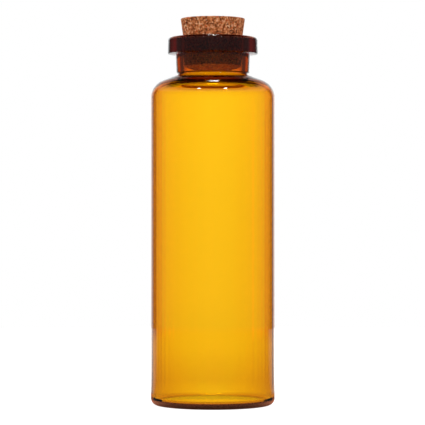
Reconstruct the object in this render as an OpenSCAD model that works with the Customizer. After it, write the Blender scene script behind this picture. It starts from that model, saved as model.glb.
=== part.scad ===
// Tubular glass sample vial with a thick flat lip and a tapered cork stopper.
// The vial stands on its foot ring at z = 0, and +Z is the axis of the glass.

/* [Body] */
// Outside diameter of the glass tube
body_d = 40; // [32:0.5:60]
// Height of the straight wall above the base, where the shoulder begins to curve in
body_h = 99.25; // [30:0.05:160]
// Thickness of the tube's wall
body_wall = 1.05; // [0.8:0.05:1.8]
// Outside radius of the curve from the wall into the shoulder
shoulder_r = 5.9; // [3:0.1:8]
// Slope of the shoulder's outside from its curve up to the neck, in degrees
shoulder_slope = 21; // [2:1:30]
// How much tighter the shoulder's inside curve is than one that keeps the wall's thickness
shoulder_gather = 0.4; // [0:0.05:0.6]
// Slope of the shoulder's inside from its curve up to the throat, in degrees
ceiling_slope = 8; // [2:1:20]

/* [Base] */
// Thickness of the glass between the foot and the inside floor
base_t = 1.8; // [1.2:0.1:4]
// Outside radius of the heel, between the foot and the wall
heel_r = 2.2; // [1:0.1:5]
// Inside radius between the floor and the wall
floor_r = 1.1; // [0.5:0.1:5]
// Width of the flat foot ring that the vial stands on
foot_w = 2.5; // [1:0.1:4]
// How far the middle of the underside is pushed up above the foot
push_up = 0.6; // [0.2:0.1:0.8]

/* [Neck and lip] */
// Diameter of the bore through the neck
bore_d = 19.2; // [10:0.02:24]
// Thickness of the neck's wall where it leaves the shoulder
neck_wall = 2.15; // [1.5:0.05:3]
// How much the neck's radius grows from the shoulder up to the lip
neck_flare = 0.25; // [0:0.05:0.6]
// Height of the neck from the shoulder's slope to the underside of the lip
neck_h = 6.95; // [6:0.05:20]
// Depth of the groove between the shoulder and the neck
waist_depth = 0.55; // [0.4:0.05:0.8]
// Height of the groove, from the shoulder's slope to the neck's lower edge
waist_h = 0.7; // [0.65:0.05:2]
// Radius of the hollow at the groove's foot, where the glass leaves the shoulder
root_cove_r = 0.3; // [0.2:0.05:0.35]
// Radius of the hollow at the groove's top, and nearly that of the neck's lower edge
waist_cove_r = 0.2; // [0.15:0.05:0.25]
// Radius of the inside edge where the shoulder turns up into the bore
throat_r = 2.8; // [0.5:0.1:5]
// How far the lip stands out beyond the neck
lip_overhang = 2.55; // [1.9:0.05:4]
// Height of the lip
lip_h = 5.35; // [3.6:0.05:8]
// Radius of the lip's upper outside edge
lip_edge_r = 1.1; // [0.5:0.1:1.8]
// Radius of the lip's lower outside edge
lip_foot_r = 0.2; // [0.1:0.1:0.8]
// Radius of the hollow where the lip leaves the neck
lip_cove_r = 0.3; // [0.2:0.1:1]
// Radius of the mouth's inside edge
mouth_r = 0.6; // [0.2:0.1:1]

/* [Cork] */
// Length of the cork from end to end
cork_l = 15.25; // [12:0.05:30]
// Height of cork that stands out above the lip
cork_proud = 6.1; // [2:0.1:10]
// How much wider the cork's top is than the bore, on the radius
cork_flare = 0.78; // [0.3:0.01:1.5]
// How much narrower the cork's low end is than the bore, on the radius
cork_lead = 0.4; // [0.3:0.01:1.5]
// Radial gap between the bore and the stretch of cork that it grips
cork_gap = 0.04; // [0.02:0.01:0.08]
// Width of the sanded edge at each end of the cork
cork_edge = 0.2; // [0.1:0.05:0.6]

/* [Hidden] */
$fn = 180;

body_r = body_d / 2;
cavity_r = body_r - body_wall;
bore_r = bore_d / 2;
neck_r = bore_r + neck_wall;
neck_top_r = neck_r + neck_flare;
lip_r = neck_top_r + lip_overhang;

// Heights from here on are measured from the top of the straight wall, at body_h above the base.
// The shoulder's outer and inner curves have their centres there, and each runs into a slope.
outer_centre_r = body_r - shoulder_r;
inner_r = shoulder_r - body_wall - shoulder_gather;
inner_centre_r = cavity_r - inner_r;

// Radius at which a shoulder curve of radius arc_r, centred at centre_r, touches its slope.
function touch_r(centre_r, arc_r, slope) = centre_r + arc_r * sin(slope);

// Height at radius r of the slope that follows that curve.
function slope_z(centre_r, arc_r, slope, r) = arc_r * cos(slope)
    + (touch_r(centre_r, arc_r, slope) - r) * tan(slope);

throat_fit_r = min(throat_r, touch_r(inner_centre_r, inner_r, ceiling_slope) - bore_r);
neck_z = slope_z(outer_centre_r, shoulder_r, shoulder_slope, neck_r);
band_z = neck_z + waist_h;
waist_r = neck_r - waist_depth;
band_edge_r = waist_depth - waist_cove_r - 0.05;
lip_z = neck_z + neck_h;
mouth_z = lip_z + lip_h;

// The cork tapers evenly from end to end, but the bore squeezes it wherever it would be too wide,
// and above the mouth it swells out again towards its top.
cork_top_z = mouth_z + cork_proud;
cork_low_z = cork_top_z - cork_l;
cork_top_r = bore_r + cork_flare;
cork_low_r = bore_r - cork_lead;
cork_slope = (cork_top_r - cork_low_r) / cork_l;
grip_r = bore_r - cork_gap;
grip_low_z = min(mouth_z, cork_low_z + (grip_r - cork_low_r) / cork_slope);

// The underside is a shallow sphere through the foot ring's inner edge, push_up high in the middle.
foot_inner_r = body_r - heel_r - foot_w;
push_up_r = (pow(foot_inner_r, 2) + pow(push_up, 2)) / (2 * push_up);

// A curve is drawn this much too deep where it runs into a flat, so that the two cross cleanly.
blend = 0.001;

// Half-section of the straight part of a round tank, with a rounded corner at its floor.
module tank_section(radius, low, corner) {
    translate([0, low + corner]) square([radius, body_h - low - corner]);
    translate([0, low]) square([radius - corner, body_h - low]);
    translate([radius - corner, low + corner]) circle(corner);
}

// Half-section of a shoulder: its curve, then its slope up to a neck of radius neck_end_r.
module shoulder_section(centre_r, arc_r, slope, neck_end_r) {
    translate([centre_r, 0]) circle(arc_r);
    polygon([
        [0, -arc_r],
        [centre_r, 0],
        [centre_r, 0] + (arc_r - blend) * [sin(slope), cos(slope)],
        [neck_end_r, slope_z(centre_r, arc_r, slope, neck_end_r)],
        [0, slope_z(centre_r, arc_r, slope, neck_end_r)]
    ]);
}

// Hollow of radius r in the corner between an upright wall at wall_r and a shoulder's slope.
module slope_cove(centre_r, arc_r, slope, wall_r, r) {
    centre = [wall_r + r, slope_z(centre_r, arc_r, slope, wall_r + r) + r / cos(slope)];
    difference() {
        polygon([
            [wall_r - r, centre.y],
            [wall_r - r, centre.y - 2 * r],
            centre - 1.5 * r * [sin(slope), cos(slope)],
            centre
        ]);
        translate(centre) circle(r + blend);
    }
}

// Hollow of radius r in the corner under a level face at height z, outside an upright wall at wall_r.
module level_cove(wall_r, z, r) {
    difference() {
        translate([wall_r - r, z - r]) square(2 * r);
        translate([wall_r + r, z - r]) circle(r + blend);
    }
}

// Half-section of the lip, with its two outside edges rounded.
module lip_section() {
    side_low = lip_z + lip_foot_r;
    side_high = mouth_z - lip_edge_r;
    translate([0, side_low]) square([lip_r, side_high - side_low]);
    translate([0, lip_z]) square([lip_r - lip_foot_r, lip_h - lip_edge_r]);
    translate([0, lip_z]) square([lip_r - lip_edge_r, lip_h]);
    translate([lip_r - lip_foot_r, side_low]) circle(lip_foot_r);
    translate([lip_r - lip_edge_r, side_high]) circle(lip_edge_r);
}

// Half-section of the neck: a band that widens upwards, over the waist left by the groove at its root.
module neck_section() {
    band_low = band_z + band_edge_r;
    square([waist_r, band_low]);
    translate([0, band_z]) square([neck_r - band_edge_r, lip_z - band_z]);
    translate([neck_r - band_edge_r, band_low]) circle(band_edge_r);
    polygon([
        [0, band_low],
        [neck_r, band_low],
        [neck_top_r, lip_z - lip_cove_r],
        [neck_top_r, lip_z + lip_foot_r],
        [0, mouth_z]
    ]);
}

// Half-section of everything inside the glass's outer surface.
module outer_section() {
    tank_section(body_r, 0, heel_r);
    translate([0, body_h]) {
        shoulder_section(outer_centre_r, shoulder_r, shoulder_slope, waist_r);
        slope_cove(outer_centre_r, shoulder_r, shoulder_slope, waist_r, root_cove_r);
        neck_section();
        level_cove(waist_r, band_z, waist_cove_r);
        level_cove(neck_top_r, lip_z, lip_cove_r);
        lip_section();
    }
}

// Half-section of the hollow, from the floor up through the mouth.
module inner_section() {
    tank_section(cavity_r, base_t, floor_r);
    translate([0, body_h]) {
        shoulder_section(inner_centre_r, inner_r, ceiling_slope, bore_r);
        slope_cove(inner_centre_r, inner_r, ceiling_slope, bore_r, throat_fit_r);
        square([bore_r, cork_top_z]);
        level_cove(bore_r, mouth_z, mouth_r);
    }
}

// Half-section of the dished underside, inside the foot ring.
module push_up_section() {
    intersection() {
        square([foot_inner_r, 2 * push_up]);
        translate([0, push_up - push_up_r]) circle(push_up_r, $fn = 1440);
    }
}

// The whole glass, made from one tube.
module glass_vial() {
    color("#e6990f", 0.6) rotate_extrude() difference() {
        outer_section();
        inner_section();
        push_up_section();
    }
}

// The cork, as it sits in the mouth.
module cork_stopper() {
    color("#c98a50") translate([0, 0, body_h]) rotate_extrude() polygon([
        [0, cork_low_z],
        [cork_low_r - cork_edge, cork_low_z],
        [cork_low_r + cork_slope * cork_edge, cork_low_z + cork_edge],
        [grip_r, grip_low_z],
        [grip_r, mouth_z],
        [cork_top_r, cork_top_z - cork_edge],
        [cork_top_r - cork_edge, cork_top_z],
        [0, cork_top_z]
    ]);
}

glass_vial();
cork_stopper();
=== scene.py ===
import bpy
import numpy as np
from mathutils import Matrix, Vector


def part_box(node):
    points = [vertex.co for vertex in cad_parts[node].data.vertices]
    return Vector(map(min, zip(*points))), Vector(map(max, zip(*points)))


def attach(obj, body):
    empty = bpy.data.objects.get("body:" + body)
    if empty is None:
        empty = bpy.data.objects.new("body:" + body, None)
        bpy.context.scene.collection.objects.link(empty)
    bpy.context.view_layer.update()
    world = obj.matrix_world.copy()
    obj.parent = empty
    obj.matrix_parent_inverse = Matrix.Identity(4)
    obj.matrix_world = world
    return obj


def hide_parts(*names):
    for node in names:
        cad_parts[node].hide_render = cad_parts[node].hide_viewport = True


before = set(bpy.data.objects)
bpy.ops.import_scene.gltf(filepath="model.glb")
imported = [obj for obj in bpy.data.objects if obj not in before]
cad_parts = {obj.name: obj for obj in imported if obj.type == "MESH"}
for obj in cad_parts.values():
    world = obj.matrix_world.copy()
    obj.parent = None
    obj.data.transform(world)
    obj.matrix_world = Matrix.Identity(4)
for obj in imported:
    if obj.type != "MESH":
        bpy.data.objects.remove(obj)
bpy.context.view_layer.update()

# --- Glass vial -------------------------------------------------------------------------
# One length of drawn amber soda-lime tube. Its floor was gathered in and sealed in the flame,
# its shoulder and neck were rolled in, and its thick lip was pressed flat on a forming tool.
mm = 0.001
vial_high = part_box("glass_vial")[1]
body_r = vial_high.x
mouth_z = vial_high.z

tube_wall = 1.05 * mm
cavity_r = body_r - tube_wall
heel_r = 2.2 * mm
foot_w = 2.5 * mm
push_up = 0.6 * mm
floor_t = 1.8 * mm
floor_edge_r = 1.1 * mm
bore_r = 9.6 * mm
neck_low_r = bore_r + 2.15 * mm
neck_top_r = neck_low_r + 0.25 * mm
neck_h = 6.95 * mm
lip_h = 5.35 * mm
lip_r = neck_top_r + 2.55 * mm
lip_z = mouth_z - lip_h
lip_edge_r = 1.1 * mm
lip_foot_r = 0.2 * mm
lip_cove_r = 0.3 * mm
lip_draft = 0.08 * mm
mouth_edge_r = 0.6 * mm
shoulder_r = 5.9 * mm
shoulder_slope = np.radians(21)
shoulder_centre_r = body_r - shoulder_r
ceiling_r = shoulder_r - tube_wall - 0.4 * mm
ceiling_slope = np.radians(8)
ceiling_centre_r = cavity_r - ceiling_r
throat_r = 2.8 * mm
waist_r = neck_low_r - 0.55 * mm
waist_h = 0.7 * mm
waist_cove_r = 0.2 * mm
root_cove_r = 0.3 * mm
band_edge_r = 0.3 * mm


def slope_height(centre_r, arc_r, slope, r):
    """Height above a shoulder curve's centre, at radius r, of the straight slope that the curve runs
    into: the curve's height where it has turned to that slope, plus what the slope climbs from there."""
    touch_r = centre_r + arc_r * np.sin(slope)
    return arc_r * np.cos(slope) + (touch_r - r) * np.tan(slope)


neck_z = lip_z - neck_h
band_z = neck_z + waist_h
shoulder_z = neck_z - slope_height(shoulder_centre_r, shoulder_r, shoulder_slope, neck_low_r)


def arc(centre, radius, start, end, steps):
    """Points (r, z) on a circle: the centre plus the radius times the cosine and the sine of an angle
    that runs evenly from start to end, in degrees."""
    angle = np.radians(np.linspace(start, end, steps))
    return np.column_stack([centre[0] + radius * np.cos(angle), centre[1] + radius * np.sin(angle)])


def line(start, end, steps):
    """Points (r, z) spread evenly from start to end, without the two ends."""
    share = np.linspace(0, 1, steps + 2)[1:-1, None]
    return (1 - share) * np.array(start) + share * np.array(end)


def slope_cove(centre_r, arc_r, slope, wall_r, radius):
    """Centre of the circle that touches both an upright wall at wall_r and a slope of the shoulder."""
    r = wall_r + radius
    return r, shoulder_z + slope_height(centre_r, arc_r, slope, r) + radius / np.cos(slope)


def vial_outline():
    """The glass's half-section as points (r, z), from the middle of the underside, up the outside, over
    the lip and down the inside to the middle of the floor. Every corner is an arc."""
    foot_inner_r = body_r - heel_r - foot_w
    dish_r = (foot_inner_r**2 + push_up**2) / (2 * push_up)
    dish = foot_inner_r * np.linspace(0, 1, 10)
    outer_turn = 90 - np.degrees(shoulder_slope)
    inner_turn = 90 - np.degrees(ceiling_slope)
    root_cove = slope_cove(shoulder_centre_r, shoulder_r, shoulder_slope, waist_r, root_cove_r)
    throat = slope_cove(ceiling_centre_r, ceiling_r, ceiling_slope, bore_r, throat_r)
    return np.vstack([
        np.column_stack([dish, push_up - dish_r + np.sqrt(dish_r**2 - dish**2)]),
        arc((body_r - heel_r, heel_r), heel_r, -90, 0, 16),
        line((body_r, heel_r), (body_r, shoulder_z), 36),
        arc((shoulder_centre_r, shoulder_z), shoulder_r, 0, outer_turn, 24),
        arc(root_cove, root_cove_r, 180 + outer_turn, 180, 8),
        arc((waist_r + waist_cove_r, band_z - waist_cove_r), waist_cove_r, 180, 90, 5),
        arc((neck_low_r - band_edge_r, band_z + band_edge_r), band_edge_r, -90, 0, 6),
        arc((neck_top_r + lip_cove_r, lip_z - lip_cove_r), lip_cove_r, 180, 90, 8),
        arc((lip_r - lip_foot_r, lip_z + lip_foot_r), lip_foot_r, -90, 0, 6),
        arc((lip_r - lip_draft - lip_edge_r, mouth_z - lip_edge_r), lip_edge_r, 0, 90, 14),
        arc((bore_r + mouth_edge_r, mouth_z - mouth_edge_r), mouth_edge_r, 90, 180, 8),
        arc(throat, throat_r, 180, 180 + inner_turn, 20),
        arc((ceiling_centre_r, shoulder_z), ceiling_r, inner_turn, 0, 20),
        line((cavity_r, shoulder_z), (cavity_r, floor_t + floor_edge_r), 36),
        arc((cavity_r - floor_edge_r, floor_t + floor_edge_r), floor_edge_r, 0, -90, 14),
        line((cavity_r - floor_edge_r, floor_t), (0, floor_t), 8),
        [[0, floor_t]],
    ])


def turned_mesh(name, radius, height):
    """A closed turned surface. radius and height are grids whose rows follow an outline from axis to
    axis and whose columns go round: x and y are the radius times the cosine and sine of the column's
    angle. The first and last rows are single points on the axis, and the columns close on themselves."""
    rows, columns = radius.shape
    angle = 2 * np.pi * np.arange(columns) / columns
    rings = np.stack([radius * np.cos(angle), radius * np.sin(angle), height], axis=2)[1:-1]
    points = np.vstack([[[0, 0, height[0, 0]]], rings.reshape(-1, 3), [[0, 0, height[-1, 0]]]])
    here = 1 + np.arange((rows - 2) * columns).reshape(rows - 2, columns)
    beside = np.roll(here, -1, axis=1)
    walls = np.stack([here[:-1], beside[:-1], beside[1:], here[1:]], axis=2).reshape(-1, 4)
    first = np.column_stack([beside[0], here[0], np.zeros(columns, int)])
    last = np.column_stack([here[-1], beside[-1], np.full(columns, len(points) - 1)])
    mesh = bpy.data.meshes.new(name)
    mesh.from_pydata(points.tolist(), [], walls.tolist() + first.tolist() + last.tolist())
    mesh.polygons.foreach_set("use_smooth", np.ones(len(mesh.polygons), bool))
    mesh.update()
    return mesh


def wave_round(angle, cycles, rng):
    """A sum of sine waves round the axis, one for each number of cycles, with seeded phases, scaled to
    a root mean square of one half."""
    phase = rng.uniform(0, 2 * np.pi, len(cycles))
    return np.sin(np.outer(angle, cycles) + phase).sum(axis=1) / np.sqrt(2 * len(cycles))


def glass_vial():
    """The outline turned about the axis. The wall's inside follows the tube's draw lines, which are a sum
    of sine waves round the axis. The tube is very slightly oval, and nowhere wider than its box. Both
    fade out evenly over the shoulder's start, and as a bell curve of height just above the heel."""
    columns = 384
    draw_line_depth = 0.020 * mm
    draw_line_cycles = np.array([17, 29, 41, 53, 61, 67])
    oval_depth = 0.020 * mm
    oval_cycles = np.array([2, 3])
    shoulder_fade = 8 * mm
    heel_fade = 3 * mm
    heel_fade_z = 4 * mm
    outline = vial_outline()
    r, z = outline.T
    inner = np.arange(len(r)) > np.argmax(z)
    rng = np.random.default_rng(41)
    angle = 2 * np.pi * np.arange(columns) / columns
    lines = wave_round(angle, draw_line_cycles, rng)
    oval = wave_round(angle, oval_cycles, rng)
    on_wall = (r > shoulder_centre_r) * np.clip(0.5 + (shoulder_z - z) / shoulder_fade, 0, 1)
    on_wall *= 1 - np.exp(-(((z - heel_fade_z) / heel_fade) ** 2))
    radius = r[:, None] + oval_depth * np.outer(on_wall, oval - oval.max())
    radius += draw_line_depth * np.outer(on_wall * inner, lines)
    height = np.repeat(z[:, None], columns, axis=1)
    return bpy.data.objects.new("vial_glass", turned_mesh("vial_glass", radius, height))


def linear(hex_colour, alpha=1.0):
    """A colour written as sRGB hex, turned into the linear numbers that a shader takes."""
    channels = np.array([int(hex_colour[i:i + 2], 16) for i in (0, 2, 4)]) / 255
    low, high = channels / 12.92, ((channels + 0.055) / 1.055) ** 2.4
    return (*np.where(channels <= 0.04045, low, high).tolist(), alpha)


def node(tree, kind, inputs=None, stops=(), **settings):
    """Adds one shader node. settings are its own properties. inputs gives its sockets by name or number,
    each either a value or the output that feeds it. stops are the (position, colour) pairs of a ramp,
    where a colour is sRGB hex or a number for grey."""
    made = tree.nodes.new("ShaderNode" + kind)
    for name, value in settings.items():
        setattr(made, name, value)
    for index, (position, colour) in enumerate(stops):
        if index >= len(made.color_ramp.elements):
            made.color_ramp.elements.new(1.0)
        made.color_ramp.elements[index].position = position
        shade = linear(colour) if isinstance(colour, str) else (colour, colour, colour, 1)
        made.color_ramp.elements[index].color = shade
    for name, value in (inputs or {}).items():
        if isinstance(value, bpy.types.NodeSocket):
            tree.links.new(value, made.inputs[name])
        else:
            made.inputs[name].default_value = value
    return made


def amber_glass():
    """Amber soda-lime glass, drawn and fire-polished: a sharp clear surface over a body that takes out
    nearly all blue and much of the green, so thin walls glow orange-yellow and the thick lip goes dark."""
    material = bpy.data.materials.new("amber_soda_lime_glass_fire_polished")
    material.use_nodes = True
    tree = material.node_tree
    tree.nodes.clear()
    surface = node(tree, "BsdfPrincipled", {
        "Base Color": (1, 1, 1, 1), "Roughness": 0.0, "IOR": 1.52, "Transmission Weight": 1.0})
    # Each channel loses density x (1 - colour) of its light per metre of glass.
    density = 3300.0
    loss_per_metre = np.array([220.0, 500.0, 3200.0])
    body = node(tree, "VolumeAbsorption", {
        "Color": (*(1 - loss_per_metre / density).tolist(), 1), "Density": density})
    output = node(tree, "OutputMaterial", {"Surface": surface.outputs[0], "Volume": body.outputs[0]})
    output.is_active_output = True
    return material


vial = glass_vial()
vial.data.materials.append(amber_glass())
bpy.context.scene.collection.objects.link(vial)
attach(vial, "vial")
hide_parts("glass_vial")

# --- Cork stopper -----------------------------------------------------------------------
# A tapered plug of agglomerated cork: granules from half a millimetre across, pressed with a binder
# into rods, then ground to a taper and sanded at both ends. It is squeezed into the bore by hand.
cork_low, cork_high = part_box("cork_stopper")
cork_top_r = cork_high.x
cork_low_r = bore_r - 0.4 * mm
cork_edge = 0.2 * mm
grip_r = bore_r - 0.04 * mm
cork_taper = (cork_top_r - cork_low_r) / (cork_high.z - cork_low.z)
grip_low_z = cork_low.z + (grip_r - cork_low_r) / cork_taper
granule = np.array([0.48, 0.48, 0.52]) * mm


def cork_outline():
    """The cork's half-section as points (r, z), from the middle of its low end round to the middle of
    its top: cone, straight stretch in the bore, and a wider cone above the mouth."""
    corners = [
        (0, cork_low.z, 36),
        (cork_low_r - cork_edge, cork_low.z, 3),
        (cork_low_r + cork_taper * cork_edge, cork_low.z + cork_edge, 44),
        (grip_r, grip_low_z, 16),
        (grip_r, mouth_z, 38),
        (cork_top_r, cork_high.z - cork_edge, 3),
        (cork_top_r - cork_edge, cork_high.z, 44),
        (0, cork_high.z, 1),
    ]
    spans = [
        np.linspace(a[:2], b[:2], a[2], endpoint=False) for a, b in zip(corners[:-1], corners[1:])
    ]
    return np.vstack([*spans, [corners[-1][:2]]])


def granules(points, size, rng):
    """For every point, the nearest granule and how far its border is. Granules grow from one seed in
    each cell of a jittered lattice, and each is longer along its own random direction, so its distance
    is the plain one less a share of what lies along that direction. All is measured in cells."""
    margin = 2
    stretch = 0.72
    far = 9.0
    cells = np.ceil((np.ptp(points, axis=0) / size).max()).astype(int) + 3 * margin
    jitter = rng.uniform(0.1, 0.9, (cells, cells, cells, 3))
    along = rng.normal(size=(cells, cells, cells, 3))
    along /= np.linalg.norm(along, axis=3, keepdims=True)
    tone = rng.random((cells, cells, cells, 2))
    spot = (points - points.min(axis=0)) / size + margin
    cell = np.floor(spot).astype(int)
    nearest = np.full(len(points), far)
    second = np.full(len(points), far)
    found = np.zeros((len(points), 2))
    for step in np.ndindex(3, 3, 3):
        i, j, k = (cell + np.array(step) - 1).T
        away = spot - (np.stack([i, j, k], axis=1) + jitter[i, j, k])
        run = (away * along[i, j, k]).sum(axis=1)
        distance = np.sqrt(np.maximum((away**2).sum(axis=1) - stretch * run**2, 0))
        closer = distance < nearest
        second = np.where(closer, nearest, np.minimum(second, distance))
        found[closer] = tone[i, j, k][closer]
        nearest = np.where(closer, distance, nearest)
    return found[:, 0], found[:, 1], second - nearest


def cork_stopper():
    """The outline turned about the axis, sunk along its normal where granules meet and where one has
    fallen out, and half as deep where the bore squeezes it. Each granule's tone, the depth of each hollow
    and how far each point is inside the mouth are kept as attributes; the last one sets the painted shade
    on the sides inside the bore."""
    columns = 396
    seam_depth = 0.07 * mm
    seam_width = 0.28
    pit_depth = 0.30 * mm
    pit_share = 0.07
    pit_slope = 0.35
    bore_shade_fade = 1 * mm
    outline = cork_outline()
    angle = 2 * np.pi * np.arange(columns) / columns
    r = np.repeat(outline[:, :1], columns, axis=1)
    z = np.repeat(outline[:, 1:], columns, axis=1)
    points = np.stack([r * np.cos(angle), r * np.sin(angle), z], axis=2).reshape(-1, 3)
    tone, tint, border = granules(points, granule, np.random.default_rng(7))
    seam = np.clip(1 - border / seam_width, 0, 1) ** 1.5
    pit = (tint < pit_share) * np.clip(border / pit_slope, 0, 1)
    depth = (seam_depth * seam + pit_depth * pit).reshape(r.shape)
    along = np.gradient(outline, axis=0)
    along /= np.linalg.norm(along, axis=1, keepdims=True)
    squeezed = np.where((outline[:, 1] > grip_low_z) & (outline[:, 1] < mouth_z), 0.5, 1.0)
    depth *= squeezed[:, None]
    radius = np.maximum(r - along[:, 1:] * depth, 0)
    height = z + along[:, :1] * depth
    height[0], height[-1] = cork_low.z, cork_high.z
    mesh = turned_mesh("cork_plug", radius, height)
    # Painted shade: how far each point is inside the mouth sets how much the cork's side is darkened
    # there.
    in_bore = np.clip(0.5 + (mouth_z - z) / bore_shade_fade, 0, 1) * (r > cork_low_r - cork_edge)
    for name, value in (("granule_tone", tone), ("granule_tint", tint), ("granule_seam", seam),
                        ("granule_pit", pit), ("bore_shade", in_bore)):
        grid = value.reshape(r.shape)
        kept = np.concatenate([grid[0, :1], grid[1:-1].ravel(), grid[-1, :1]])
        mesh.attributes.new(name, "FLOAT", "POINT").data.foreach_set("value", kept.astype(np.float32))
    return bpy.data.objects.new("cork_plug", mesh)


def agglomerated_cork():
    """Agglomerated cork, ground and sanded: a dry matt surface whose granules run from pale tan through
    orange-brown to reddish bark, with dark brown hollows between some of them, partly the binder's own
    colour and partly painted shade. Its sides inside the bore are painted darker, as painted shade for the
    light that the glass lip and neck keep from them."""
    material = bpy.data.materials.new("agglomerated_cork_sanded")
    material.use_nodes = True
    tree = material.node_tree
    tree.nodes.clear()
    place = node(tree, "TexCoord").outputs["Object"]
    fine = node(tree, "TexNoise", {"Vector": place, "Scale": 1 / (0.35 * mm), "Detail": 4.0,
                                   "Roughness": 0.65})
    tone = node(tree, "Attribute", attribute_name="granule_tone").outputs["Fac"]
    mottled = node(tree, "Math", {0: fine.outputs["Fac"], 1: 0.7, 2: -0.35}, operation="MULTIPLY_ADD")
    mixed = node(tree, "Math", {0: tone, 1: mottled.outputs[0]}, operation="ADD")
    stops = [(0.0, "4e2412"), (0.22, "a25a28"), (0.5, "d67e4a"), (0.75, "ea9860"), (1.0, "ffc89c")]
    ramp = node(tree, "ValToRGB", {"Fac": mixed.outputs[0]}, stops).outputs["Color"]
    tint = node(tree, "Attribute", attribute_name="granule_tint").outputs["Fac"]
    reddish = node(tree, "MapRange", {"Value": tint, "From Min": 0.78, "From Max": 0.88, "To Max": 0.8})
    red = node(tree, "Mix", {"Factor": reddish.outputs[0], 6: ramp, 7: linear("cc5426")},
               data_type="RGBA")
    seam = node(tree, "Attribute", attribute_name="granule_seam").outputs["Fac"]
    pit = node(tree, "Attribute", attribute_name="granule_pit").outputs["Fac"]
    # Darker towards brown 46220f in the hollows: between granules this is partly the binder's own colour
    # and partly painted shade in the crevice; inside the pits it is painted shade.
    hollow = node(tree, "Math", {0: seam, 1: 0.45, 2: pit}, operation="MULTIPLY_ADD")
    dark = node(tree, "Mix", {"Factor": hollow.outputs[0], 6: red.outputs[2], 7: linear("46220f")},
                data_type="RGBA", clamp_factor=True)
    # Painted shade on the sides inside the bore, darker towards brown 2c1408, for the light that the glass
    # lip and neck keep from them.
    in_bore = node(tree, "Attribute", attribute_name="bore_shade").outputs["Fac"]
    bore_shade_amount = node(tree, "Math", {0: in_bore, 1: 0.6}, operation="MULTIPLY").outputs[0]
    bore_shaded = node(tree, "Mix", {"Factor": bore_shade_amount, 6: dark.outputs[2], 7: linear("2c1408")},
                data_type="RGBA").outputs[2]
    bump = node(tree, "Bump", {"Height": fine.outputs["Fac"], "Distance": 0.06 * mm, "Strength": 0.6})
    surface = node(tree, "BsdfPrincipled", {
        "Base Color": bore_shaded, "Roughness": 0.85, "Specular IOR Level": 0.25,
        "Normal": bump.outputs[0]})
    node(tree, "OutputMaterial", {"Surface": surface.outputs[0]})
    return material


cork = cork_stopper()
cork.data.materials.append(agglomerated_cork())
bpy.context.scene.collection.objects.link(cork)
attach(cork, "stopper")
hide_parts("cork_stopper")

# --- Floor ------------------------------------------------------------------------------
# A round table top of white acrylic, lit from below towards the back of the room. It shows white, and
# keeps the vial's shadow. In the glass it shows as a glow of painted light, with a painted shadow round
# the foot.
table_r = 0.45
table_t = 4 * mm
table_z = -0.01 * mm


def table_top():
    """A flat disc just under the foot: a slab's outline turned about the vial's axis."""
    outline = np.array([
        (0, table_z - table_t), (table_r, table_z - table_t), (table_r, table_z), (0, table_z)])
    grid = np.repeat(outline[:, :, None], 96, axis=2)
    return bpy.data.objects.new("table_top", turned_mesh("table_top", grid[:, 0], grid[:, 1]))


# Colour of the room as seen through the glass at its own height, by the angle away from straight
# behind as a share of half a turn: the lit wall, a black card at each side, and pale walls beyond.
wall_through_glass = [(0, "e2e3e3"), (0.018, "e4e1e0"), (0.03, "e7e1db"), (0.045, "f5e3d3"),
                      (0.07, "fedbbd"), (0.1, "f1c4a0"), (0.133, "e2b189"), (0.167, "b58965"),
                      (0.19, "866950"), (0.21, "695545"), (0.33, "59524b"), (0.45, 0.55), (1.0, 0.75)]


def away_from_back(tree, x, y):
    """The angle between the level direction x, y and straight behind the vial, as a share of half a
    turn: the size of the arc tangent of x over y, divided by pi."""
    turn = node(tree, "Math", {0: x, 1: y}, operation="ARCTAN2").outputs[0]
    half_turn = node(tree, "Math", {0: turn, 1: np.pi}, operation="DIVIDE").outputs[0]
    return node(tree, "Math", {0: half_turn}, operation="ABSOLUTE").outputs[0]


def table_through_glass(tree, side, distance, share, scattered):
    """The table's glow as seen through the glass, all of it painted light: pale, with a ring of painted
    shadow under the foot, warmer to the sides, and at the table's rim like the wall. Light that was
    scattered on the way finds it brighter, so that the cork's low end is lit through the glass."""
    wall_share = (0.81, 0.81, 0.81)
    clear_level = (2.5, 2.3, 2.3, 1)
    scattered_level = (4.14, 4.14, 4.14, 1)
    rim_start = 0.30
    # Painted shadow: the dim ring from about 13 to 18 mm out is the shade of the vial's foot on the table.
    near = node(tree, "ValToRGB", {"Fac": share}, [
        (0, "dddacb"), (0.028, "dddacb"), (0.0365, "ada289"), (0.0395, "c8bfaa"), (0.0425, "e5e5cb"),
        (0.055, "dddecb"), (0.1, "d8d7bc"), (0.22, "cec6af"), (0.6, "dbdad0"), (1, "dedfdd"),
    ]).outputs["Color"]
    turned = node(tree, "ValToRGB", {"Fac": side}, [
        (0.0, "f1eff0"), (0.018, "eff0e6"), (0.03, "efecdb"), (0.045, "f0ead3"), (0.07, "ece3c4"),
        (0.13, "e5d6bc"), (0.2, "decbb5"), (0.33, "decbb5"), (0.45, "e2dfda"),
    ]).outputs["Color"]
    near = node(tree, "VectorMath", {0: near, 1: turned}, operation="MULTIPLY").outputs[0]
    outward = node(tree, "MapRange", {"Value": distance, "From Min": rim_start, "From Max": table_r},
                   interpolation_type="SMOOTHSTEP").outputs[0]
    wall = node(tree, "ValToRGB", {"Fac": side}, wall_through_glass).outputs["Color"]
    wall = node(tree, "VectorMath", {0: wall, 1: wall_share}, operation="MULTIPLY").outputs[0]
    glow = node(tree, "Mix", {"Factor": outward, 6: near, 7: wall}, data_type="RGBA").outputs[2]
    level = node(tree, "Mix", {"Factor": scattered, 6: clear_level, 7: scattered_level},
                 data_type="RGBA").outputs[2]
    return node(tree, "VectorMath", {0: glow, 1: level}, operation="MULTIPLY").outputs[0]


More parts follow.
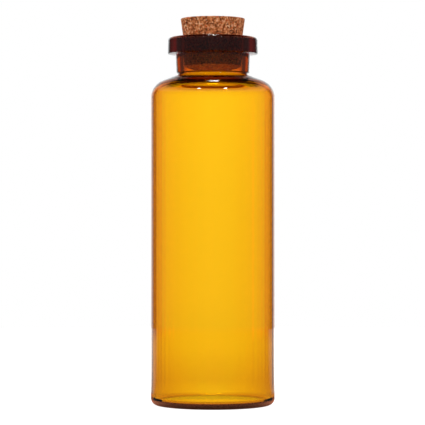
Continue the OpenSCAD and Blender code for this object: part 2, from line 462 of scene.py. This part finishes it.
def table_in_reflection(tree, side, distance, share):
    """The table's glow as the glass mirrors it: white towards the wall behind, dimmer to the sides and
    dark in front. Close to the heel the table is in the vial's shade, with only the orange glow of
    what light comes through the glass."""
    shade_r = 23 * mm
    clear_r = 29 * mm
    table = node(tree, "ValToRGB", {"Fac": side}, [
        (0.0, 1.3), (0.10, 1.3), (0.15, 1.1), (0.18, 0.7), (0.20, 0.5), (0.27, 0.4), (0.34, 0.08),
        (1.0, 0.14),
    ]).outputs["Color"]
    orange = node(tree, "ValToRGB", {"Fac": share}, [
        (0.0415, "1c1713"), (0.0458, "ff9c74")]).outputs["Color"]
    ahead = node(tree, "ValToRGB", {"Fac": side}, [
        (0.30, 0.5), (0.42, 0.8), (0.60, 1.7)]).outputs["Color"]
    orange = node(tree, "VectorMath", {0: orange, 1: ahead}, operation="MULTIPLY").outputs[0]
    # The shade reaches twice as far behind the vial as it does in front.
    behind = node(tree, "MapRange", {"Value": side, "From Min": 0.30, "From Max": 0.45, "To Min": 0.5})
    reach = node(tree, "Math", {0: distance, 1: behind.outputs[0]}, operation="MULTIPLY").outputs[0]
    clear = node(tree, "MapRange", {"Value": reach, "From Min": shade_r, "From Max": clear_r},
                 interpolation_type="SMOOTHSTEP").outputs[0]
    return node(tree, "Mix", {"Factor": clear, 6: orange, 7: table}, data_type="RGBA").outputs[2]


def white_acrylic():
    """White acrylic, matt: a pale even surface that glows and takes a soft shadow. As the glass mirrors
    and passes it, its glow goes dimmer close round the foot, a painted shadow. It shows as plain white
    when seen directly."""
    material = bpy.data.materials.new("white_acrylic_matt")
    material.use_nodes = True
    tree = material.node_tree
    tree.nodes.clear()
    place = node(tree, "TexCoord").outputs["Object"]
    distance = node(tree, "VectorMath", {0: place}, operation="LENGTH").outputs["Value"]
    share = node(tree, "Math", {0: distance, 1: table_r}, operation="DIVIDE").outputs[0]
    x, y, _ = node(tree, "SeparateXYZ", {"Vector": place}).outputs
    side = away_from_back(tree, x, y)
    path = node(tree, "LightPath").outputs
    scattered = node(tree, "Math", {0: path["Diffuse Depth"], 1: 0.5}, operation="GREATER_THAN").outputs[0]
    seen = (0, 0, 0, 1)
    for ray, colour in (
        ("Is Glossy Ray", table_in_reflection(tree, side, distance, share)),
        ("Is Transmission Ray", table_through_glass(tree, side, distance, share, scattered)),
        ("Is Camera Ray", (0.9, 0.9, 0.9, 1)),
    ):
        seen = node(tree, "Mix", {"Factor": path[ray], 6: seen, 7: colour}, data_type="RGBA").outputs[2]
    glow = node(tree, "Emission", {"Color": seen})
    matt = node(tree, "BsdfDiffuse", {"Color": linear("b4b4b4")})
    lit = node(tree, "AddShader", {0: glow.outputs[0], 1: matt.outputs[0]})
    both = node(tree, "MixShader", {0: path["Is Glossy Ray"], 1: lit.outputs[0], 2: glow.outputs[0]})
    node(tree, "OutputMaterial", {"Surface": both.outputs[0]})
    return material


table = table_top()
table.data.materials.append(white_acrylic())
bpy.context.scene.collection.objects.link(table)

# --- Light ------------------------------------------------------------------------------
# A lit white wall stands behind, with a black card at each side that gives the glass dark edges. Its
# top is warm and dim at the sides, and a narrow strip light hangs over it under a dark ceiling. In
# front are two small round lamps, and a soft sky lights the cork.
lamp_azimuths = (151, 209)
lamp_elevation = 40
lamp_radius = 3.5
lamp_core = 2.5
lamp_strength = 40
strip_strength = 22

# As wall_through_glass, for the wall as the glass mirrors it.
wall_in_reflection = [(0.0, 1.0), (0.10, 1.0), (0.14, 0.85), (0.18, 0.3), (0.20, 0.03), (0.30, 0.1),
                      (0.42, 0.18), (0.70, 0.17), (1.0, 0.20)]


def lit_wall(tree, side, height):
    """The wall through the glass and the wall mirrored: each is its colour by the angle from straight
    behind, times its brightness by height, where a height is half of 1 plus the elevation's sine."""
    wall_level = (4.35, 4, 4)
    side_top = (1.3, 0.58, 0.40)
    rise = node(tree, "ValToRGB", {"Fac": height}, [
        (0.46, "acaeac"), (0.48, "b8bab8"), (0.505, "bbbfbb"), (0.527, "c0c5c0"), (0.6, "c2c7c2"),
        (0.66, "c2c5c2"), (0.7, "c2bcbc"), (0.75, "6c6359"), (0.79, "272119"),
    ]).outputs["Color"]
    through = node(tree, "ValToRGB", {"Fac": side}, wall_through_glass).outputs["Color"]
    through = node(tree, "VectorMath", {0: through, 1: rise}, operation="MULTIPLY").outputs[0]
    through = node(tree, "VectorMath", {0: through, 1: wall_level}, operation="MULTIPLY").outputs[0]

    fall = node(tree, "ValToRGB", {"Fac": height}, [
        (0.46, 0.80), (0.48, 0.94), (0.525, 1.0), (0.60, 1.0), (0.66, 0.8), (0.72, 0.1), (0.78, 0.03),
    ]).outputs["Color"]
    mirrored = node(tree, "ValToRGB", {"Fac": side}, wall_in_reflection).outputs["Color"]
    mirrored = node(tree, "VectorMath", {0: mirrored, 1: fall}, operation="MULTIPLY").outputs[0]

    # The tops of the side walls, warm and dim, edge the shoulder.
    aside = node(tree, "MapRange", {"Value": side, "From Min": 0.03, "From Max": 0.08}).outputs[0]
    upper = node(tree, "ValToRGB", {"Fac": height}, [
        (0.64, 0.0), (0.71, 1.0), (0.79, 0.9), (0.84, 0.0)]).outputs["Color"]
    corner = node(tree, "VectorMath", {0: upper, 1: aside}, operation="MULTIPLY").outputs[0]
    corner = node(tree, "VectorMath", {0: corner, 1: side_top}, operation="MULTIPLY").outputs[0]
    mirrored = node(tree, "VectorMath", {0: mirrored, 1: corner}, operation="ADD").outputs[0]
    return through, mirrored


def small_lights(tree, way):
    """The two round lamps and the strip light, added up. A lamp fades from its core to its radius by
    the cosine between the way and its own direction, and the strip by the way's three parts."""
    lights = (0, 0, 0)
    rim, core = np.cos(np.radians([lamp_radius, lamp_core]))
    for azimuth in lamp_azimuths:
        turn, climb = np.radians([azimuth, lamp_elevation])
        towards = (np.sin(turn) * np.cos(climb), np.cos(turn) * np.cos(climb), np.sin(climb))
        near = node(tree, "VectorMath", {0: way, 1: towards}, operation="DOT_PRODUCT").outputs["Value"]
        lamp = node(tree, "MapRange", {
            "Value": near, "From Min": rim, "From Max": core, "To Max": lamp_strength,
        }, interpolation_type="SMOOTHSTEP").outputs[0]
        lights = node(tree, "VectorMath", {0: lights, 1: lamp}, operation="ADD").outputs[0]

    x, y, z = node(tree, "SeparateXYZ", {"Vector": way}).outputs
    across = node(tree, "Math", {0: x}, operation="ABSOLUTE").outputs[0]
    width = node(tree, "MapRange", {
        "Value": across, "From Min": 0.09, "From Max": 0.075, "To Max": strip_strength}).outputs[0]
    length = node(tree, "MapRange", {"Value": z, "From Min": 0.87, "From Max": 0.90}).outputs[0]
    behind = node(tree, "MapRange", {"Value": y, "From Min": 0.06, "From Max": 0.11}).outputs[0]
    strip = node(tree, "Math", {0: width, 1: length}, operation="MULTIPLY").outputs[0]
    strip = node(tree, "Math", {0: strip, 1: behind}, operation="MULTIPLY").outputs[0]
    return node(tree, "VectorMath", {0: lights, 1: strip}, operation="ADD").outputs[0]


def studio_world():
    """The room as a world. A direct look shows plain white. Mirrored and passed rays find the wall and
    the small lights. Scattered rays find the sky, or a dim wall once they are inside the glass."""
    inside_share = (0.3, 0.3, 0.3)
    world = bpy.data.worlds.new("studio")
    world.use_nodes = True
    tree = world.node_tree
    tree.nodes.clear()
    way = node(tree, "TexCoord").outputs["Generated"]
    x, y, z = node(tree, "SeparateXYZ", {"Vector": way}).outputs
    height = node(tree, "Math", {0: z, 1: 0.5, 2: 0.5}, operation="MULTIPLY_ADD").outputs[0]
    through, mirrored = lit_wall(tree, away_from_back(tree, x, y), height)
    sky = node(tree, "ValToRGB", {"Fac": height}, [
        (0.4, 0.77), (0.6, 1.05), (0.9, 1.1)]).outputs["Color"]
    inside = node(tree, "VectorMath", {0: mirrored, 1: inside_share}, operation="MULTIPLY").outputs[0]

    path = node(tree, "LightPath").outputs
    passed = path["Is Transmission Ray"]
    sharp = node(tree, "Mix", {"Factor": passed, 6: mirrored, 7: through}, data_type="RGBA").outputs[2]
    sharp = node(tree, "VectorMath", {0: sharp, 1: small_lights(tree, way)}, operation="ADD").outputs[0]
    soft = node(tree, "Mix", {"Factor": passed, 6: sky, 7: inside}, data_type="RGBA").outputs[2]
    scattered = node(tree, "Math", {0: path["Diffuse Depth"], 1: 0.5}, operation="GREATER_THAN").outputs[0]
    seen = sky
    for share, colour in (
        (path["Is Glossy Ray"], sharp),
        (scattered, soft),
        (path["Is Camera Ray"], (1, 1, 1, 1)),
    ):
        seen = node(tree, "Mix", {"Factor": share, 6: seen, 7: colour}, data_type="RGBA").outputs[2]
    light = node(tree, "Background", {"Color": seen})
    node(tree, "OutputWorld", {"Surface": light.outputs[0]})
    return world


bpy.context.scene.world = studio_world()
bpy.context.scene.view_settings.view_transform = "Standard"

# --- Camera -----------------------------------------------------------------------------
# A long lens a little above half the vial's height, level, so the tube's sides stay upright.
camera_distance = 0.670
camera_height = 0.06217
camera_aside = -0.1 * mm
camera_data = bpy.data.cameras.new("camera")
camera_data.lens = 175.4
camera_data.sensor_width = 36
camera_data.clip_start = 0.01
camera = bpy.data.objects.new("camera", camera_data)
camera.location = (camera_aside, -camera_distance, camera_height)
camera.rotation_euler = (np.pi / 2, 0, 0)
bpy.context.scene.collection.objects.link(camera)
bpy.context.scene.camera = camera
